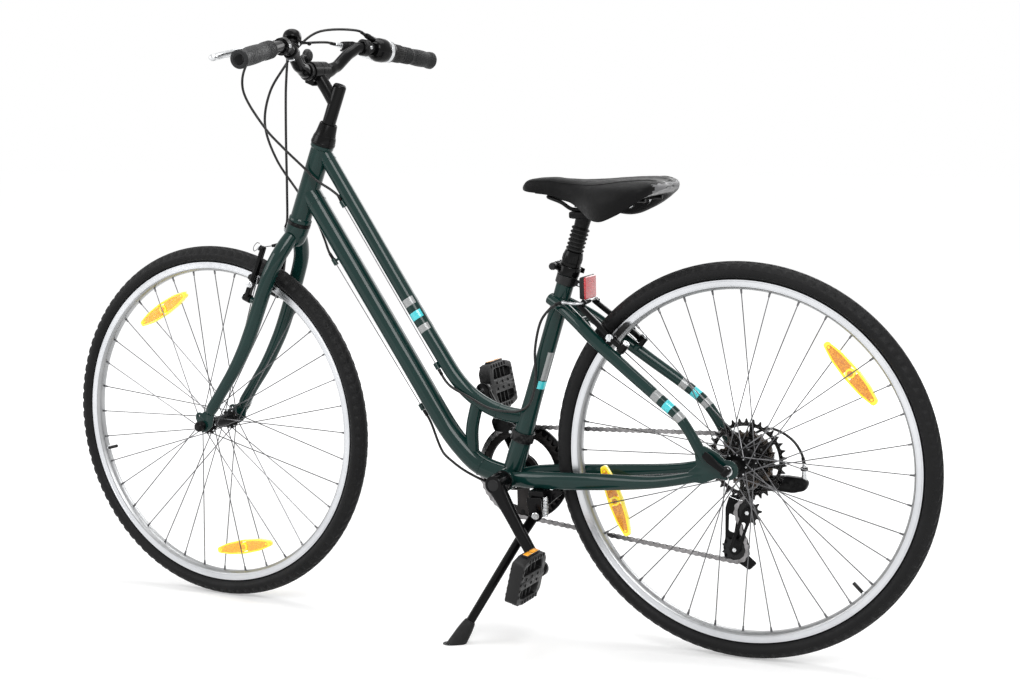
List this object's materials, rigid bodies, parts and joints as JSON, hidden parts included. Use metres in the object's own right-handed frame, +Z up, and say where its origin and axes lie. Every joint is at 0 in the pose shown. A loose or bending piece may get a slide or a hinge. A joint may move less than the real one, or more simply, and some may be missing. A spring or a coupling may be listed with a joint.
{
  "type": "step-through city bicycle",
  "caption": "City bicycle with a low step-through frame, swept handlebar, V-brakes, twist shifter, rear derailleur, sprung seat post and kickstand.",
  "frame": {"origin": "centre of the bounding box's base, on the ground the bicycle stands on", "axes": "+X forward, +Y to the rider's left, +Z up; the bicycle leans 3.3 degrees to its left on its kickstand"},
  "size_m": [1.783, 0.6306, 1.1114],
  "materials": {
    "frame_green": "gloss dark green paint",
    "black_metal": "satin black",
    "black_plastic": "satin",
    "rubber": "matt",
    "tyre_rubber": "matt",
    "grip_rubber": "matt, ribbed",
    "saddle_skin": "smooth, slightly glossy",
    "bright_metal": "polished",
    "rim_metal": "polished, machined brake track",
    "steel": "oiled steel",
    "red_lens": "moulded prisms",
    "clear_plastic": "clear"
  },
  "bodies": {
    "bike": {"bottom_bracket": "black_metal", "chain": "steel", "chain_keeper": "black_metal", "derailleur_bracket": "black_metal", "frame": "frame_green", "headset_upper_cup": "black_metal", "kickstand_bracket": "black_metal", "kickstand_spring": "bright_metal", "rear_axle": "bright_metal", "rear_brake_cable": "rubber", "rear_reflector": "red_lens", "seat_clamp": "black_metal", "shift_cable": "rubber"},
    "steering": {"bell": "black_plastic", "brake_lever_bracket_left": "black_metal", "brake_lever_bracket_right": "black_metal", "fork": "frame_green", "front_axle": "bright_metal", "front_brake_cable": "rubber", "front_reflector": "clear_plastic", "grip_left": "grip_rubber", "grip_right": "grip_rubber", "handlebar": "black_metal", "shifter_body": "black_plastic", "stem": "black_metal"},
    "front_wheel": {"rim_front": "rim_metal", "spokes_front": "bright_metal", "tyre_front": "tyre_rubber"},
    "rear_wheel": {"rim_rear": "rim_metal", "spoke_protector": "clear_plastic", "spokes_rear": "bright_metal", "tyre_rear": "tyre_rubber"},
    "freewheel": {"freewheel": "steel"},
    "crank": {"chainring": "black_metal", "crank_arm_left": "black_metal", "crank_arm_right": "black_metal"},
    "left_pedal": {"pedal_left": "black_plastic"},
    "right_pedal": {"pedal_right": "black_plastic"},
    "derailleur": {"derailleur_linkage": "black_metal"},
    "cage": {"derailleur_cage": "black_metal"},
    "upper_jockey": {"jockey_wheel_upper": "black_plastic"},
    "lower_jockey": {"jockey_wheel_lower": "black_plastic"},
    "front_arm_left": {"front_brake_arm_left": "black_metal"},
    "front_arm_right": {"front_brake_arm_right": "black_metal"},
    "rear_arm_left": {"rear_brake_arm_left": "black_metal"},
    "rear_arm_right": {"rear_brake_arm_right": "black_metal"},
    "lever_left": {"brake_lever_left": "bright_metal"},
    "lever_right": {"brake_lever_right": "bright_metal"},
    "shifter": {"shifter_ring": "black_plastic"},
    "bell_thumb": {"bell_lever": "black_plastic"},
    "post": {"seatpost": "black_metal"},
    "saddle": {"saddle_base": "black_plastic", "saddle_cushion": "saddle_skin", "saddle_rails": "black_metal", "seatpost_boot": "rubber", "seatpost_shaft": "black_metal"},
    "clamp_lever": {"seat_clamp_lever": "black_metal"},
    "stand": {"kickstand_leg": "black_metal"},
    "front_lever": {"front_qr_lever": "bright_metal"},
    "rear_lever": {"rear_qr_lever": "bright_metal"}
  },
  "joints": [
    {"name": "steer", "type": "hinge", "parent": "bike", "child": "steering", "pos_m": [0.49355, -0.03961, 0.34765], "axis": [-0.369, 0.0537, 0.9279], "range_deg": [-56.9, 63.1], "deforming": ["rear_brake_cable", "shift_cable"]},
    {"name": "front_wheel_spin", "type": "hinge", "parent": "steering", "child": "front_wheel", "pos_m": [0.54384, -0.04215, 0.34778], "axis": [0.0506, 0.998, -0.0376], "continuous": true},
    {"name": "rear_wheel_spin", "type": "hinge", "parent": "bike", "child": "rear_wheel", "pos_m": [-0.5437, -0.03961, 0.34757], "axis": [0, 0.9983, -0.0577], "continuous": true},
    {"name": "crank_spin", "type": "hinge", "parent": "bike", "child": "crank", "pos_m": [-0.09939, -0.04313, 0.2867], "axis": [0, 0.9983, -0.0577], "range_deg": [-16, 316], "deforming": ["chain"]},
    {"name": "freewheel_spin", "type": "hinge", "parent": "bike", "child": "freewheel", "pos_m": [-0.5437, -0.03961, 0.34757], "axis": [0, 0.9983, -0.0577], "continuous": true},
    {"name": "left_pedal_spin", "type": "hinge", "parent": "crank", "child": "left_pedal", "pos_m": [-0.19197, -0.05137, 0.14436], "axis": [0, 0.9983, -0.0577], "continuous": true},
    {"name": "right_pedal_spin", "type": "hinge", "parent": "crank", "child": "right_pedal", "pos_m": [-0.00681, -0.0349, 0.42905], "axis": [0, 0.9983, -0.0577], "continuous": true},
    {"name": "derailleur_shift", "type": "slide", "parent": "bike", "child": "derailleur", "axis": [0, 0.9983, -0.0577], "range_m": [-0.015, 0.015]},
    {"name": "cage_swing", "type": "hinge", "parent": "derailleur", "child": "cage", "pos_m": [-0.52569, -0.08317, 0.26995], "axis": [0, 0.9983, -0.0577], "range_deg": [-35, 20], "stiffness_Nm_per_rad": 0.6},
    {"name": "upper_jockey_spin", "type": "hinge", "parent": "cage", "child": "upper_jockey", "pos_m": [-0.54069, -0.08421, 0.25198], "axis": [0, 0.9983, -0.0577], "continuous": true},
    {"name": "lower_jockey_spin", "type": "hinge", "parent": "cage", "child": "lower_jockey", "pos_m": [-0.51695, -0.08817, 0.18338], "axis": [0, 0.9983, -0.0577], "continuous": true},
    {"name": "left_lever_pull", "type": "hinge", "parent": "steering", "child": "lever_left", "pos_m": [0.30173, 0.11877, 1.06854], "axis": [-0.0047, -0.1799, -0.9837], "range_deg": [-20.5, 0], "stiffness_Nm_per_rad": 4, "springref_deg": 2.86, "deforming": ["front_brake_cable"]},
    {"name": "right_lever_pull", "type": "hinge", "parent": "steering", "child": "lever_right", "pos_m": [0.28947, -0.12326, 1.07765], "axis": [0.0098, 0.1051, -0.9944], "range_deg": [0, 20.5], "stiffness_Nm_per_rad": 4, "springref_deg": -2.86},
    {"name": "front_left_arm_close", "type": "hinge", "parent": "steering", "child": "front_arm_left", "pos_m": [0.42396, 0.01843, 0.5978], "axis": [0.928, -0.0331, 0.371], "range_deg": [0, 3.2]},
    {"name": "front_right_arm_close", "type": "hinge", "parent": "steering", "child": "front_arm_right", "pos_m": [0.41941, -0.07139, 0.60118], "axis": [0.928, -0.0331, 0.371], "range_deg": [-3.2, 0]},
    {"name": "rear_left_arm_close", "type": "hinge", "parent": "bike", "child": "rear_arm_left", "pos_m": [-0.33783, 0.01528, 0.53462], "axis": [-0.6452, 0.0441, 0.7628], "range_deg": [-3.6, 0]},
    {"name": "rear_right_arm_close", "type": "hinge", "parent": "bike", "child": "rear_arm_right", "pos_m": [-0.33783, -0.07257, 0.5397], "axis": [-0.6452, 0.0441, 0.7628], "range_deg": [0, 3.6]},
    {"name": "shifter_twist", "type": "hinge", "parent": "steering", "child": "shifter", "pos_m": [0.21226, -0.30818, 1.05865], "axis": [-0.2572, -0.9607, -0.1041], "range_deg": [-54, 54]},
    {"name": "bell_flick", "type": "hinge", "parent": "steering", "child": "bell_thumb", "pos_m": [0.27076, 0.07893, 1.07665], "axis": [0.2407, -0.4326, 0.8688], "range_deg": [0, 30], "stiffness_Nm_per_rad": 0.2},
    {"name": "post_height", "type": "slide", "parent": "bike", "child": "post", "axis": [-0.3091, 0.0549, 0.9494], "range_m": [0, 0.12]},
    {"name": "suspension", "type": "slide", "parent": "post", "child": "saddle", "axis": [-0.3091, 0.0549, 0.9494], "range_m": [-0.04, 0], "stiffness_N_per_m": 18000, "springref_m": 0.001, "deforming": ["seatpost_boot"]},
    {"name": "seat_clamp_open", "type": "hinge", "parent": "bike", "child": "clamp_lever", "pos_m": [-0.2012, -0.03844, 0.67959], "axis": [-0.3091, 0.0549, 0.9494], "range_deg": [0, 150]},
    {"name": "stand_fold", "type": "hinge", "parent": "bike", "child": "stand", "pos_m": [-0.17169, 0.0009, 0.23407], "axis": [-0.2559, 0.9354, -0.244], "range_deg": [0, 105], "deforming": ["kickstand_spring"]},
    {"name": "front_release", "type": "hinge", "parent": "steering", "child": "front_lever", "pos_m": [0.54047, -0.10862, 0.35028], "axis": [0.7986, -0.0178, 0.6016], "range_deg": [0, 170]},
    {"name": "rear_release", "type": "hinge", "parent": "bike", "child": "rear_lever", "pos_m": [-0.5437, 0.04335, 0.34277], "axis": [-0.5769, 0.0472, 0.8154], "range_deg": [0, 170]}
  ],
  "couplings": [
    {"joint": "freewheel_spin", "follows": "crank_spin", "ratio": 2.1},
    {"joint": "upper_jockey_spin", "follows": "crank_spin", "ratio": -3.8182},
    {"joint": "lower_jockey_spin", "follows": "crank_spin", "ratio": 3.8182},
    {"joint": "shifter_twist", "follows": "derailleur_shift", "rad_per_m": 62},
    {"joint": "front_left_arm_close", "follows": "left_lever_pull", "ratio": -0.15},
    {"joint": "front_right_arm_close", "follows": "left_lever_pull", "ratio": 0.15},
    {"joint": "rear_left_arm_close", "follows": "right_lever_pull", "ratio": -0.168},
    {"joint": "rear_right_arm_close", "follows": "right_lever_pull", "ratio": 0.168}
  ]
}
